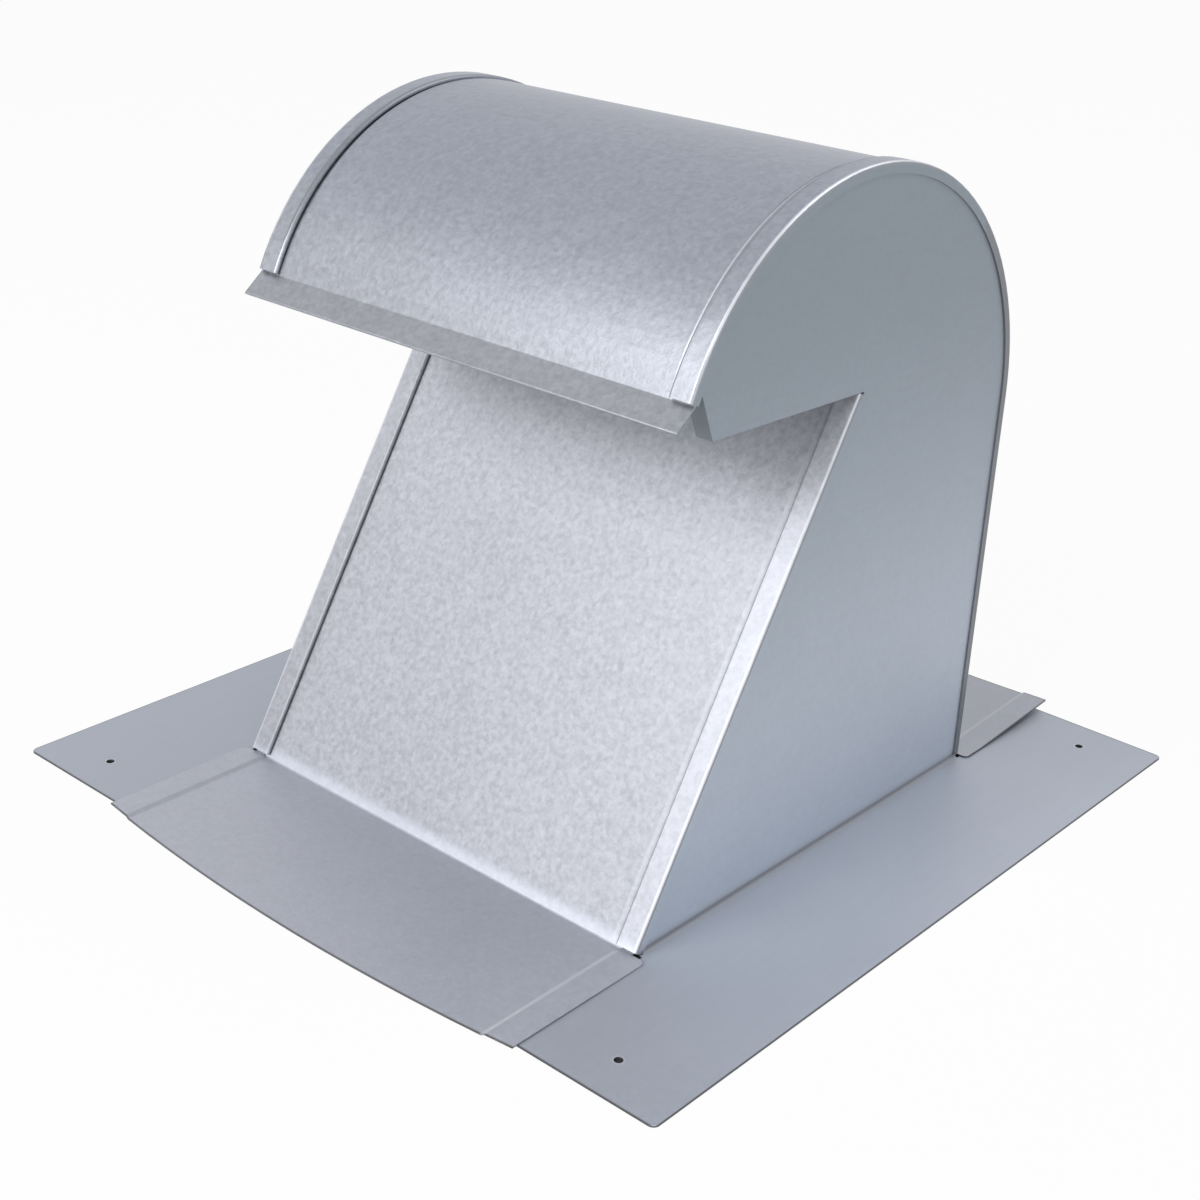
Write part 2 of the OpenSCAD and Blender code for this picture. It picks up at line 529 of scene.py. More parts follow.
    def _worn_and_highlighted(self, surface: Surface, rim: Socket) -> Socket:
        """Find the painted highlight: on the rim in patches that are in part wear, on the strip
        and on the right shoulder.

        Args:
            surface: Where the material is read.
            rim: 1 on the front part of the rim, which carries the painted highlight.

        Returns:
            How bright the painted highlight is, from 0 to 1.
        """
        graph = surface.graph
        patchy = graph.noise(surface.place, self.patch_scale)
        patchy = graph.ramp(patchy, *self.patches, *self.patch_shares)
        beyond = graph.ramp(surface.across, self.valley[1], self.valley[1] + self.strip_edge)
        climb = graph.ramp(surface.z, *self.strip_climb)
        ridge = graph.band(surface.across, *self.shoulder, self.line_edge)
        return graph.most(
            graph.times(rim, patchy, self.rim_wear_and_highlight),
            graph.times(beyond, climb, self.strip_highlight),
            # Painted highlight on the right shoulder only, which faces the light.
            graph.times(ridge, self._by_side(surface, 0.0, self.shoulder_highlight)),
        )

    def _painted_shade_mask(self, surface: Surface, rim: Socket) -> Socket:
        """Find the painted shade: under the rim, on its back part and in the valley.

        Args:
            surface: Where the material is read.
            rim: 1 on the back part of the rim, which carries painted shade.

        Returns:
            How dark the painted shade is, from 0 to 1.
        """
        graph = surface.graph
        # Painted shade under the rolled rim.
        under = graph.ramp(surface.across, self.underside, self.underside + self.underside_edge)
        valley = graph.band(surface.across, *self.valley, self.line_edge)
        # Painted shade in the valley, darker on the left half.
        depth = self._by_side(surface, self.left_valley_shade, self.right_valley_shade)
        return graph.most(under, rim, graph.times(valley, depth))


@dataclass(frozen=True)
class Outline:
    """Where a base flange was sheared off, with a dark line along its edge that is partly the
    burred cut edge and partly painted shade.

    Attributes:
        half_width: Half the flange's width.
        half_depth: Half the depth between its ends, at their middle.
        bow: How far the ends fall back towards the sides.
        sides: Whether the sides were sheared as well as the ends.
        end_line: Width of the dark line along the ends, partly burred edge and partly painted
            shade of the edge's shadow, and side_line along the sides.
        margin: Width of its darkest part, right at the edge.
        darkness: Share of the line's tone.
        bare_and_shadow_edge: Share of the dark tone on the cut edge itself: bare steel, darkened
            as painted shade.
        bare_below: Height under which a face may be a cut edge.
        upright: How far such a face may look up or down.
    """

    half_width: float
    half_depth: float
    bow: float = 0.0
    sides: bool = True

    end_line: float = 0.8 * MM
    side_line: float = 0.56 * MM
    margin: float = 0.1 * MM
    darkness: float = 0.8
    # The line's tone: burred edge with painted shade of the edge's shadow.
    tone: Colour = (0.08, 0.078, 0.08)

    bare_and_shadow_edge: float = 0.9
    # Bare steel, darkened as painted shade.
    bare_and_shadow_tone: Colour = (0.06, 0.063, 0.07)
    bare_below: float = 1.5 * MM
    upright: float = 0.2

    def darken(self, surface: Surface, colour: Socket) -> Socket:
        """Darken the flange along its outline, partly for the burred edge and partly as painted
        shade.

        Args:
            surface: Where the material is read.
            colour: The sheet's colour away from its outline.

        Returns:
            The sheet's colour, outline included.
        """
        graph = surface.graph
        share = graph.math("DIVIDE", surface.across, self.half_width)
        bowed = graph.times(graph.math("POWER", share, 2.0), self.bow)
        end = graph.math("ADD", surface.along, bowed)
        edge = graph.ramp(end, self.half_depth - self.end_line, self.half_depth - self.margin)
        if self.sides:
            start, finish = self.half_width - self.side_line, self.half_width - self.margin
            edge = graph.most(edge, graph.ramp(surface.across, start, finish))
        return graph.mix(graph.times(edge, self.darkness), colour, self.tone)

    def bare(self, surface: Surface, colour: Socket) -> Socket:
        """Show bare steel on the flange's cut edges, darkened as painted shade.

        Args:
            surface: Where the material is read.
            colour: The sheet's colour on its faces.

        Returns:
            The sheet's colour, cut edges included.
        """
        graph = surface.graph
        tilt = graph.math("ABSOLUTE", graph.facing()[2])
        upright = graph.math("LESS_THAN", tilt, self.upright)
        low = graph.math("LESS_THAN", surface.z, self.bare_below)
        return graph.mix(graph.times(upright, low, self.bare_and_shadow_edge), colour, self.bare_and_shadow_tone)


@dataclass(frozen=True)
class SidePaintedLight:
    """Where a side panel was punched, turned in and folded, and where highlight and shade are
    painted on it.

    Attributes:
        hole_x: Distance of the nail holes from X = 0, and hole_y from Y = 0.
        hole_radius: Their radius.
        turned_from: Height from which painted shade darkens the turned-in edge, softly over
            turned_soft.
        burr_reach: Width of the painted highlight round a hole.
        turned_facing: How far a face has to look forward to belong to the turned-in edge.
        fold_shade_rise: Heights over which the painted shade in the fold starts, and
            fold_shade_fade those where it ends.

    The names burr_highlight, turned and fold_shade are the shares of their tones: the burrs'
    painted highlight, the turned-in edge's painted shade and the fold's painted shade.
    """

    hole_x: float
    hole_y: float
    hole_radius: float
    turned_from: float

    # Painted highlight round the nail holes.
    burr_reach: float = 0.9 * MM
    burr_highlight: float = 0.35
    burr_highlight_tone: Colour = (0.72, 0.74, 0.78)

    # Painted shade on the turned-in edge under the hood.
    turned_soft: float = 20.0 * MM
    turned_facing: float = -0.7
    turned: float = 0.55
    turned_shade_tone: Colour = (0.12, 0.125, 0.13)

    # Painted shade in the fold at the panel's foot.
    fold_shade_rise: Span = (0.60 * MM, 0.68 * MM)
    fold_shade_fade: Span = (1.8 * MM, 3.6 * MM)
    fold_shade: float = 0.62
    fold_shade_tone: Colour = (0.13, 0.14, 0.155)

    def dress(self, surface: Surface, colour: Socket) -> Socket:
        """Paint a highlight round the nail holes, and paint shade on the turned-in edge under the
        hood and in the fold at the panel's foot.

        Args:
            surface: Where the material is read.
            colour: The panel's colour away from them.

        Returns:
            The panel's colour, all three included.
        """
        graph = surface.graph
        colour = graph.mix(self._burr_highlight_mask(surface), colour, self.burr_highlight_tone)

        turned = graph.math("LESS_THAN", graph.facing()[1], self.turned_facing)
        under_hood = graph.ramp(surface.z, self.turned_from, self.turned_from + self.turned_soft)
        colour = graph.mix(graph.times(turned, under_hood, self.turned), colour, self.turned_shade_tone)

        rising = graph.ramp(surface.z, *self.fold_shade_rise)
        fading = graph.ramp(surface.z, *self.fold_shade_fade, 1.0, 0.0)
        return graph.mix(graph.times(rising, fading, self.fold_shade), colour, self.fold_shade_tone)

    def _burr_highlight_mask(self, surface: Surface) -> Socket:
        """Find the painted highlight round the nail holes.

        Args:
            surface: Where the material is read.

        Returns:
            How bright the painted highlight is, which is most at the hole's edge.
        """
        graph = surface.graph
        aside = graph.math("POWER", graph.math("SUBTRACT", surface.across, self.hole_x), 2.0)
        ahead = graph.math("POWER", graph.math("SUBTRACT", surface.along, self.hole_y), 2.0)
        reach = graph.math("SQRT", graph.math("ADD", aside, ahead))
        beyond = self.hole_radius + self.burr_reach
        return graph.ramp(reach, self.hole_radius, beyond, self.burr_highlight, 0.0)


@dataclass(frozen=True)
class GalvanisedFinish:
    """Hot-dip zinc on sheet steel: a fine speckle over faint crystals and rolling marks, with
    light and shade painted by height.

    Attributes:
        tone: Colour at the body's foot, top_tone_with_painted_light at its top and
            flange_tone_with_painted_light on the base flange; they differ mostly by painted light
            and shade by height, and in part by a real change of hue.
        outline: Where its flange was sheared off.
        seam: Its lock seams' wear and painted light, and side the painted light on a side panel,
            where it has them.
        climb: Heights over which tone passes to top_tone_with_painted_light: painted light and
            shade by height.
        flange_top: Heights over which flange passes to body, and flange_root those depths.
        flange_calm: Share of the speckle that is left on the flange.
        speckle: Swing in tone of the grain, as crystal, mottle and rolled are for the others.

    A name in _scale is in features per metre, one in _gloss is a swing in roughness, and one in
    _relief is a depth.
    """

    name: str
    tone: Colour
    flange_tone_with_painted_light: Colour
    top_tone_with_painted_light: Colour
    rolling: Rolling
    outline: Outline
    seam: SeamWearAndPaintedLight | None = None
    side: SidePaintedLight | None = None

    climb: Span = (20.0 * MM, 230.0 * MM)
    flange_top: Span = (2.0 * MM, 6.0 * MM)
    flange_root: Span = (105.0 * MM, 107.0 * MM)
    flange_calm: float = 0.35

    grain_scale: float = 480.0
    crystal_scale: float = 420.0
    cloud_scale: float = 14.0
    rolled_scale: float = 900.0

    speckle: float = 0.4
    crystal: float = 0.12
    mottle: float = 0.09
    rolled: float = 0.05

    metallic: float = 0.6
    roughness: float = 0.48
    grain_gloss: float = 0.16
    cloud_gloss: float = 0.1

    cloud_relief: float = 0.25 * MM
    rolled_relief: float = 0.006 * MM
    grain_relief: float = 0.06 * MM

    def material(self) -> bpy.types.Material:
        """Build the finish, or return it where another sheet has it already.

        Returns:
            The material, which reads Object coordinates alone.
        """
        if self.name in bpy.data.materials:
            return bpy.data.materials[self.name]
        material = bpy.data.materials.new(self.name)
        material.use_nodes = True
        graph = NodeGraph(material.node_tree)
        surface = Surface.of(graph)
        stretch = graph.add("Mapping")
        graph.link(surface.place, stretch.inputs["Vector"])
        stretch.inputs["Scale"].default_value = self.rolling.value

        grain = graph.noise(surface.place, self.grain_scale, detail=2.0, roughness=0.6)
        clouds = graph.noise(surface.place, self.cloud_scale, detail=3.0, roughness=0.55)
        rolled = graph.noise(stretch.outputs["Vector"], self.rolled_scale, detail=1.0)

        colour = self.outline.darken(surface, self._zinc(surface, grain, clouds, rolled))
        for wear_and_light in (self.seam, self.side):
            if wear_and_light is not None:
                colour = wear_and_light.dress(surface, colour)
        colour = self.outline.bare(surface, colour)

        gloss = graph.math("ADD", self.roughness, graph.swing(grain, self.grain_gloss))
        gloss = graph.math("ADD", gloss, graph.swing(clouds, self.cloud_gloss))

        heights = [(clouds, self.cloud_relief), (rolled, self.rolled_relief)]
        heights.append((grain, self.grain_relief))
        if self.seam is not None:
            heights.insert(0, (self.seam.fall(surface), 1.0))

        shader = graph.add("BsdfPrincipled")
        graph.link(colour, shader.inputs["Base Color"])
        shader.inputs["Metallic"].default_value = self.metallic
        graph.link(gloss, shader.inputs["Roughness"])
        graph.link(graph.relief(heights), shader.inputs["Normal"])
        graph.output(shader.outputs["BSDF"])
        return material

    def _zinc(self, surface: Surface, grain: Socket, clouds: Socket, rolled: Socket) -> Socket:
        """Colour the zinc, with light and shade painted by height, before the seams' and sides'
        marks.

        Args:
            surface: Where the material is read.
            grain: The fine speckle's pattern.
            clouds: The wide, soft mottling's pattern.
            rolled: The rolling marks' pattern.

        Returns:
            The zinc's colour.
        """
        graph = surface.graph
        speckle = graph.swing(grain, self.speckle)
        crystals = graph.swing(graph.cells(surface.place, self.crystal_scale), self.crystal)
        fine = graph.math("ADD", speckle, crystals)
        fine = graph.times(fine, graph.ramp(surface.z, *self.flange_top, self.flange_calm, 1.0))
        shade = graph.math("ADD", fine, 1.0)
        for pattern, depth in ((clouds, self.mottle), (rolled, self.rolled)):
            shade = graph.math("ADD", shade, graph.swing(pattern, depth))
        return graph.scaled(self._painted_light_by_height(surface), shade)

    def _painted_light_by_height(self, surface: Surface) -> Socket:
        """Paint light and shade by height: pass from the flange's tone to the body's and on to
        that of the body's top.

        Args:
            surface: Where the material is read.

        Returns:
            The zinc's colour, with its painted light and shade.
        """
        graph = surface.graph
        body = graph.mix(graph.ramp(surface.z, *self.climb), self.tone, self.top_tone_with_painted_light)
        above = graph.ramp(surface.z, *self.flange_top)
        inside = graph.ramp(surface.along, *self.flange_root, 1.0, 0.0)
        return graph.mix(graph.times(above, inside), self.flange_tone_with_painted_light, body)


@dataclass
class FoldedSheet:
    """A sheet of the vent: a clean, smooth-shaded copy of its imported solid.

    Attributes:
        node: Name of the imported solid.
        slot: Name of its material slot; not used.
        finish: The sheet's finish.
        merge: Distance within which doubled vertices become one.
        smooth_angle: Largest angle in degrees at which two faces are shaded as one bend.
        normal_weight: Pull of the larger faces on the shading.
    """

    node: str
    slot: str
    finish: GalvanisedFinish
    merge: float = 0.004 * MM
    smooth_angle: float = 32.0
    normal_weight: int = 90

    def build(self, nodes: dict[str, bpy.types.Object]) -> bpy.types.Object:
        """Make the sheet.

        Args:
            nodes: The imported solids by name.

        Returns:
            The finished piece.
        """
        pick(nodes[self.node])
        bpy.ops.object.duplicate()
        piece = bpy.context.view_layer.objects.active
        piece.name = self.node + "_sheet"
        piece.data.materials.clear()
        bpy.ops.object.mode_set(mode="EDIT")
        bpy.ops.mesh.select_all(action="SELECT")
        bpy.ops.mesh.remove_doubles(threshold=self.merge)
        bpy.ops.object.mode_set(mode="OBJECT")
        self.shape(piece)
        self.smooth(piece)
        self.dress(piece)
        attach(piece, "root")
        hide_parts(self.node)
        return piece

    def shape(self, piece: bpy.types.Object) -> None:
        """Give the sheet what the workshop left on it; a plain sheet stays as it is."""

    def smooth(self, piece: bpy.types.Object) -> None:
        """Shade round bends as round and flat panels as flat.

        Args:
            piece: The sheet.
        """
        pick(piece)
        bpy.ops.object.shade_smooth_by_angle(angle=math.radians(self.smooth_angle))
        weighted = piece.modifiers.new("weighted_normals", "WEIGHTED_NORMAL")
        weighted.mode = "FACE_AREA"
        weighted.weight = self.normal_weight
        weighted.keep_sharp = True
        bpy.ops.object.modifier_apply(modifier=weighted.name)

    def dress(self, piece: bpy.types.Object) -> None:
        """Give the sheet its finish."""
        piece.data.materials.append(self.finish.material())


@dataclass(kw_only=True)
class LockedSheet(FoldedSheet):
    """A sheet with a base flange and two lock seams, which close over the side panels.

    Attributes:
        flap_finish: Finish of the seams' flaps. The other flap_ fields say where these are.
        lap_shift: How far the inner edges of the laps slide towards the body.
        lap_beyond: Distance from X = 0 of these edges. They lie in lap_heights and lap_edge.
        foot_at: Place of the seams' lower ends along foot_slope, within foot_slack.
        foot_drop: How far these ends are drawn down. They lie past foot_beyond and low down.
        foot_slope: Direction of the seams, in depth and height.
    """

    flap_finish: GalvanisedFinish
    flap_slack: float = 0.05 * MM
    flap_facing: float = 0.9
    flap_above: float = 2.0 * MM
    flap_before: float = 70.0 * MM

    lap_shift: float
    lap_beyond: float = 99.4 * MM
    lap_heights: Span = (0.65 * MM, 1.35 * MM)
    lap_edge: Span = (107.9 * MM, 110.6 * MM)

    foot_at: float
    foot_drop: float
    foot_slope: Span = (0.0, 1.0)
    foot_slack: float = 0.06 * MM
    foot_beyond: float = 91.9 * MM
    foot_below: float = 6.0 * MM

    def shape(self, piece: bpy.types.Object) -> None:
        """Close up the laps and the seams' lower ends, as far as the corners allow."""
        self._close_laps(piece)
        self._seat_seams(piece)

    def dress(self, piece: bpy.types.Object) -> None:
        """Give the sheet its finish, and the flaps on the side panels the side panels' finish.

        Args:
            piece: The sheet.
        """
        super().dress(piece)
        flap_index = len(piece.data.materials)
        piece.data.materials.append(self.flap_finish.material())
        outer = self.finish.seam.half_width - self.flap_slack
        for face in piece.data.polygons:
            outside = abs(face.center.x) > outer and abs(face.normal.x) > self.flap_facing
            if outside and face.center.z > self.flap_above and face.center.y < self.flap_before:
                face.material_index = flap_index

    def _close_laps(self, piece: bpy.types.Object) -> None:
        """Slide the inner edges of the laps towards the body.

        Args:
            piece: The sheet.
        """
        (bottom, top), (inner, outer) = self.lap_heights, self.lap_edge
        for vertex in piece.data.vertices:
            place = vertex.co
            lap = abs(place.x) > self.lap_beyond and bottom < place.z < top
            if lap and inner < abs(place.y) < outer:
                vertex.co.y -= math.copysign(self.lap_shift, place.y)

    def _seat_seams(self, piece: bpy.types.Object) -> None:
        """Draw the lower ends of the lock seams down, along their own slope, onto the flange.

        Args:
            piece: The sheet.
        """
        slope = Vector((0.0, *self.foot_slope)).normalized()
        for vertex in piece.data.vertices:
            at_foot = abs(vertex.co.dot(slope) - self.foot_at) < self.foot_slack
            if at_foot and abs(vertex.co.x) > self.foot_beyond and vertex.co.z < self.foot_below:
                vertex.co -= slope * self.foot_drop


@dataclass(kw_only=True)
class HoodSheet(LockedSheet):
    """The hood, whose sheet was pressed up beside the seams where it was rolled.

    Attributes:
        turn_y: Depth of the axis that the hood was rolled about, and turn_z its height.
        outer: Outer radius of the rolled sheet.
        sweep: Angle in degrees from the back at which the roll ends in the lip.
        groove: Crease at the foot of the pressed rise, and shoulder the one at its top.
        lift: How far the sheet was pressed up.
        back_soft: Degrees over which the rise starts at the back, and lip_soft at the lip.
        bend_x: Span in X of the bent corner, from its root, and bend_y in Y.
        bend_lift: How far its outermost point is bent up, on the curve bend_curve.
        cuts_across: Edges cut into it so that it can bend, and cuts_along the other way.
    """

    turn_y: float = 2.0 * MM
    turn_z: float = 156.0 * MM
    outer: float = 98.9 * MM
    thickness: float = 0.6 * MM
    slack: float = 0.1 * MM
    sweep: float = 156.5
    groove: float = 91.4 * MM
    shoulder: float = 90.2 * MM
    lift: float = 1.0 * MM
    back_soft: float = 35.0
    lip_soft: float = 40.0

    bend_x: Span = (52.0 * MM, 105.5 * MM)
    bend_y: Span = (114.0 * MM, 166.0 * MM)
    bend_lift: float = 3.8 * MM
    bend_curve: float = 1.4
    bend_below: float = 2.0 * MM
    bend_margin: float = 3.0 * MM
    cuts_across: int = 7
    cuts_along: int = 6

    def shape(self, piece: bpy.types.Object) -> None:
        """Press the sheet between the seams outwards and bend up the back lap's right corner.

        Args:
            piece: The sheet.
        """
        super().shape(piece)
        creases = (-self.groove, -self.shoulder, self.shoulder, self.groove)
        self._cut(piece, creases, X_AXIS)
        behind = self.bend_y[0] - self.bend_margin
        self._cut(piece, self._spread(self.bend_x, self.cuts_across), X_AXIS, behind)
        self._cut(piece, self._spread(self.bend_y, self.cuts_along), Y_AXIS, behind)
        for vertex in piece.data.vertices:
            vertex.co += self._pressed(vertex.co) + self._bent(vertex.co)

    @staticmethod
    def _spread(span: Span, count: int) -> list[float]:
        """Return evenly spread places from the start of a span, without its end."""
        return [span[0] + (span[1] - span[0]) * part / count for part in range(count)]

    @staticmethod
    def _cut(
        piece: bpy.types.Object,
        places: Sequence[float],
        axis: tuple[float, float, float],
        behind: float = -math.inf,
    ) -> None:
        """Cut edges into the sheet.

        Args:
            piece: The sheet.
            places: Where the cutting planes cross their axis.
            axis: The planes' axis.
            behind: Depth that a face has to reach to be cut.
        """
        for place in places:
            pick(piece)
            for face in piece.data.polygons:
                face.select = max(piece.data.vertices[v].co.y for v in face.vertices) > behind
            bpy.ops.object.mode_set(mode="EDIT")
            bpy.ops.mesh.bisect(plane_co=Vector(axis) * place, plane_no=axis)
            bpy.ops.object.mode_set(mode="OBJECT")

    def _pressed(self, place: Vector) -> Vector:
        """Find how far the press moved a point of the hood's sheet.

        Args:
            place: The point.

        Returns:
            The move, which is none off the rolled sheet.
        """
        spoke = Vector((0.0, place.y - self.turn_y, place.z - self.turn_z))
        inner = self.outer - self.thickness - self.slack
        rolled = inner < spoke.length < self.outer + self.slack
        if not rolled or spoke.z < 0.0 or abs(place.x) > self.shoulder + self.slack:
            return Vector()
        angle = math.degrees(math.atan2(spoke.z, spoke.y))
        rise = self._eased(angle / self.back_soft)
        fall = self._eased((self.sweep - angle) / self.lip_soft)
        return spoke.normalized() * (self.lift * rise * fall)

    def _bent(self, place: Vector) -> Vector:
        """Find how far a point of the back flange was bent up.

        Args:
            place: The point.

        Returns:
            The move, which is most at the right corner and none off that part of the flange.
        """
        (left, right), (near, far) = self.bend_x, self.bend_y
        if place.z > self.bend_below or place.y < near or place.x < left:
            return Vector()
        along = min(1.0, (place.y - near) / (far - near))
        across = (place.x - left) / (right - left)
        return Vector((0.0, 0.0, self.bend_lift * along * across**self.bend_curve))

    @staticmethod
    def _eased(part: float) -> float:
        """Pass smoothly from 0 at 0 to 1 at 1."""
        part = max(0.0, min(1.0, part))
        return part * part * (3.0 - 2.0 * part)


@dataclass
class PhotoCamera:
    """The camera that took the photograph, fitted to the vent's corners."""

    place: tuple[float, float, float] = (0.44709, -0.53409, 0.38550)
    azimuth: float = 40.46
    elevation: float = 24.45
    roll: float = 2.67
    lens_mm: float = 58.62
    sensor_mm: float = 36.0
    clip_start: float = 0.01

    def build(self) -> bpy.types.Object:
        """Make the camera and give it to the scene.

        Returns:
            The camera.
        """
        data = bpy.data.cameras.new("photo_camera")
        data.lens = self.lens_mm
        data.sensor_width = self.sensor_mm
        data.clip_start = self.clip_start
        camera = bpy.data.objects.new("photo_camera", data)
        bpy.context.scene.collection.objects.link(camera)
        turn = (
            Matrix.Rotation(math.radians(self.azimuth), 4, "Z")
            @ Matrix.Rotation(math.radians(90.0 - self.elevation), 4, "X")
            @ Matrix.Rotation(math.radians(self.roll), 4, "Z")
        )
        camera.matrix_world = Matrix.Translation(self.place) @ turn
        bpy.context.scene.camera = camera
        return camera


@dataclass(frozen=True)
class SoftLamp:
    """A square soft box that looks at the vent, placed by angles in degrees from the front."""

    name: str
    azimuth: float
    elevation: float
    distance: float
    side: float
    watts: float

    def build(self, target: Vector) -> bpy.types.Object:
        """Make the lamp.

        Args:
            target: The point that the lamp faces.

        Returns:
            The lamp.
        """
        data = bpy.data.lights.new(self.name, "AREA")
        data.shape = "SQUARE"
        data.size = self.side
        data.energy = self.watts
        lamp = bpy.data.objects.new(self.name, data)
        bpy.context.scene.collection.objects.link(lamp)
        around = math.radians(self.azimuth)
        up = math.radians(self.elevation)
        level = math.cos(up)
        away = Vector((math.sin(around) * level, -math.cos(around) * level, math.sin(up)))
        facing = away.to_track_quat("Z", "Y").to_matrix().to_4x4()
        lamp.matrix_world = Matrix.Translation(target + away * self.distance) @ facing
        return lamp


@dataclass
class Studio:
    """The plain pale floor, the white surroundings and the soft boxes.

    Attributes:
        floor_drop: How far the floor lies below the flange.
        floor_glow: Share of plain white in the floor for rays that show the background.
        covered_shade_tone: Painted shade on the floor under the vent, which shows through the nail
            holes.
        covered_margins: How far inside the vent's box that tone starts to fade and where it ends.
    """

    floor_side: float = 9.0
    floor_drop: float = 0.2 * MM
    floor_tone: Colour = (0.86, 0.86, 0.86)
    floor_glow: float = 0.95
    covered_shade_tone: Colour = (0.05, 0.05, 0.055)
    covered_margins: Span = (24.0 * MM, 8.0 * MM)
    world_light: float = 0.3
    lamps: list[SoftLamp] = field(
        default_factory=lambda: [
            # Name, azimuth, elevation, distance, side and watts
            SoftLamp("key_lamp", -22.0, 32.0, 2.0, 0.7, 11.0),
            SoftLamp("front_lamp", 0.0, 20.0, 2.0, 1.0, 24.0),
            SoftLamp("side_lamp", 60.0, 15.0, 2.2, 1.2, 9.0),
            SoftLamp("back_lamp", 150.0, 55.0, 2.2, 1.4, 13.5),
        ]
    )

    def build(self, low: Vector, high: Vector) -> None:
        """Set the studio up.

        Args:
            low: Lowest corner of the vent's box.
            high: Highest corner of the vent's box.
        """
        bpy.context.scene.view_settings.view_transform = "Standard"
        self._floor(high)
        self._world()
        for lamp in self.lamps:
            lamp.build((low + high) / 2.0)

    @staticmethod
    def _seen(graph: NodeGraph) -> Socket:
        """Find the rays that show the background.

        Args:
            graph: The nodes of the floor or the world.

        Returns:
            1 for camera, mirror-like and glass rays and 0 for all others.
        """
        path = graph.add("LightPath")
        kinds = ("Is Camera Ray", "Is Glossy Ray", "Is Transmission Ray")
        return graph.most(*(path.outputs[kind] for kind in kinds))

    def _open_floor(self, graph: NodeGraph, high: Vector) -> Socket:
        """Find the floor that the vent doesn't cover.

        Args:
            graph: The floor's nodes.
            high: Highest corner of the vent's box.

        Returns:
            0 under the vent, where painted shade shows dark through its nail holes, and 1
            elsewhere.
        """
        surface = Surface.of(graph)
        inner, outer = self.covered_margins
        aside = graph.ramp(surface.across, high.x - inner, high.x - outer)
        ahead = graph.ramp(surface.along, high.y - inner, high.y - outer)
        return graph.most(aside, ahead)

    def _floor(self, high: Vector) -> None:
        """Lay the pale floor, which keeps the vent's shadow and has painted shade under the vent.

        Args:
            high: Highest corner of the vent's box.
        """
        deselect_all()
        place = (0.0, 0.0, -self.floor_drop)
        bpy.ops.mesh.primitive_plane_add(size=self.floor_side, location=place)
        bpy.ops.object.transform_apply(location=True, rotation=False, scale=False)
        floor = bpy.context.view_layer.objects.active
        floor.name = "studio_floor"
        material = bpy.data.materials.new("pale_floor")
        material.use_nodes = True
        graph = NodeGraph(material.node_tree)
        uncovered = self._open_floor(graph, high)
        matt = graph.add("BsdfDiffuse")
        graph.link(graph.mix(uncovered, self.covered_shade_tone, self.floor_tone), matt.inputs["Color"])
        glow = graph.add("Emission")
        graph.feed(glow.inputs["Color"], WHITE)
        share = graph.times(self._seen(graph), self.floor_glow, uncovered)
        graph.output(graph.blend(share, matt, glow))
        material.cycles.emission_sampling = "NONE"
        floor.data.materials.append(material)
        floor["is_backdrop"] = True

    def _world(self) -> None:
        """Light the vent evenly and show white where a ray sees the surroundings."""
        world = bpy.data.worlds.new("white_studio")
        world.use_nodes = True
        bpy.context.scene.world = world
        world.cycles.sampling_method = "NONE"
        graph = NodeGraph(world.node_tree)
        light = graph.add("Background")
        light.inputs["Strength"].default_value = self.world_light
        backdrop = graph.add("Background")
        graph.feed(backdrop.inputs["Color"], WHITE)
        graph.output(graph.blend(self._seen(graph), light, backdrop), "OutputWorld")


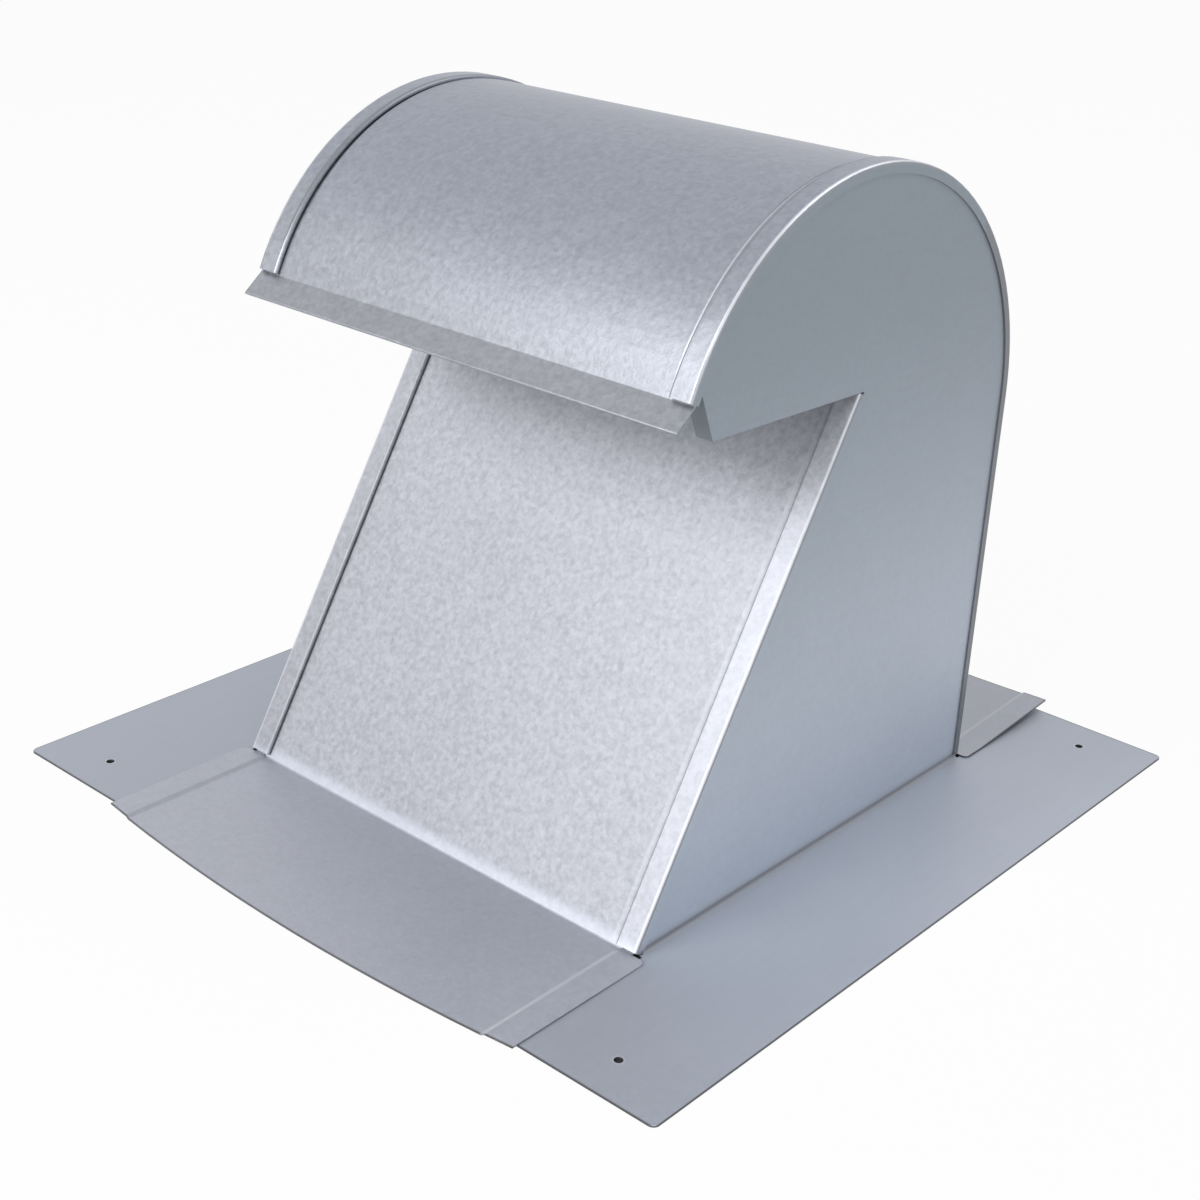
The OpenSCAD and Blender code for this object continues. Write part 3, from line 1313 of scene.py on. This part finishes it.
@dataclass
class RoofVent:
    """The whole vent: its four sheets, in the order in which they are locked together."""

    side_flange: Outline = Outline(half_width=162.0 * MM, half_depth=163.5 * MM)
    end_flange: Outline = Outline(half_width=105.5 * MM, half_depth=172.47 * MM, bow=6.47 * MM)
    seam: SeamWearAndPaintedLight = SeamWearAndPaintedLight(
        shoulder=(88.6 * MM, 90.6 * MM),
        valley=(91.8 * MM, 93.0 * MM),
        joggle=(92.4 * MM, 94.8 * MM),
        strip=91.6 * MM,
        corner=99.9 * MM,
        underside=101.0 * MM,
        half_width=101.5 * MM,
        root=103.5 * MM,
    )

    def build(self, nodes: dict[str, bpy.types.Object]) -> list[bpy.types.Object]:
        """Make and report every sheet.

        Args:
            nodes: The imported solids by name.

        Returns:
            The finished pieces.
        """
        pieces = []
        for sheet in self._sheets():
            piece = sheet.build(nodes)
            points, faces = len(piece.data.vertices), len(piece.data.polygons)
            LOG.info("%s: %d vertices, %d faces", piece.name, points, faces)
            pieces.append(piece)
        return pieces

    def _sheets(self) -> list[FoldedSheet]:
        """Return the four sheets with their finishes."""
        side = self._side_finish()
        return [
            FoldedSheet("left_side_panel", "side_sheet", side),
            FoldedSheet("right_side_panel", "side_sheet", side),
            LockedSheet(
                "throat_panel",
                "throat_sheet",
                self._throat_finish(),
                flap_finish=side,
                lap_shift=6.8 * MM,
                foot_slope=(0.5075, 0.8616),
                foot_at=-47.36 * MM,
                foot_drop=1.8 * MM,
            ),
            HoodSheet(
                "hood_wrapper",
                "hood_sheet",
                self._hood_finish(),
                flap_finish=side,
                lap_shift=5.4 * MM,
                foot_at=2.9 * MM,
                foot_drop=1.0 * MM,
            ),
        ]

    def _side_finish(self) -> GalvanisedFinish:
        """Return the side panels' finish, which is dull, bluish and almost even in grain, with
        painted shade darkening it towards the top.
        """
        return GalvanisedFinish(
            name="zinc_side",
            tone=(0.506, 0.558, 0.64),
            flange_tone_with_painted_light=(0.425, 0.455, 0.52),
            top_tone_with_painted_light=(0.275, 0.315, 0.36),
            rolling=Rolling.ALONG_Y,
            outline=self.side_flange,
            side=SidePaintedLight(
                hole_x=133.0 * MM,
                hole_y=146.5 * MM,
                hole_radius=1.6 * MM,
                turned_from=100.0 * MM,
            ),
            speckle=0.14,
            crystal=0.03,
            metallic=0.5,
            roughness=0.52,
            grain_relief=0.03 * MM,
        )

    def _throat_finish(self) -> GalvanisedFinish:
        """Return the throat's finish, which is the most speckled, with painted light lightening
        its top and its flange.
        """
        return GalvanisedFinish(
            name="zinc_throat",
            tone=(0.345, 0.355, 0.393),
            flange_tone_with_painted_light=(0.475, 0.495, 0.56),
            top_tone_with_painted_light=(0.40, 0.412, 0.458),
            rolling=Rolling.ALONG_Z,
            outline=replace(self.end_flange, sides=False, bare_and_shadow_edge=0.5),
            seam=self.seam,
            speckle=0.6,
            crystal=0.16,
            metallic=0.4,
        )

    def _hood_finish(self) -> GalvanisedFinish:
        """Return the hood's finish, whose seams carry the brightest painted highlights, in part
        wear on the rim, with painted light on its flange.
        """
        return GalvanisedFinish(
            name="zinc_hood",
            tone=(0.301, 0.312, 0.345),
            flange_tone_with_painted_light=(0.35, 0.366, 0.412),
            top_tone_with_painted_light=(0.298, 0.316, 0.370),
            rolling=Rolling.ALONG_X,
            outline=self.end_flange,
            seam=replace(
                self.seam,
                shoulder=(90.3 * MM, 91.9 * MM),
                valley=(91.9 * MM, 94.0 * MM),
                lean=0.05,
                shoulder_highlight=0.6,
                right_valley_shade=0.45,
                left_valley_shade=0.85,
                rim_wear_and_highlight=0.85,
                strip_highlight=0.0,
                joggle_highlight=0.2,
            ),
            climb=(185.0 * MM, 258.0 * MM),
            metallic=0.78,
            roughness=0.40,
        )


def main() -> None:
    """Build the camera, the studio and the vent, and note the sizes."""
    logging.basicConfig(level=logging.INFO, format="%(name)s: %(message)s")
    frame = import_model()
    cad_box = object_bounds()
    PhotoCamera().build()
    Studio().build(Vector(cad_box[0]), Vector(cad_box[1]))
    pieces = RoofVent().build(frame["nodes"])
    LOG.info("%d pieces", len(pieces))


if __name__ == "__main__":
    main()
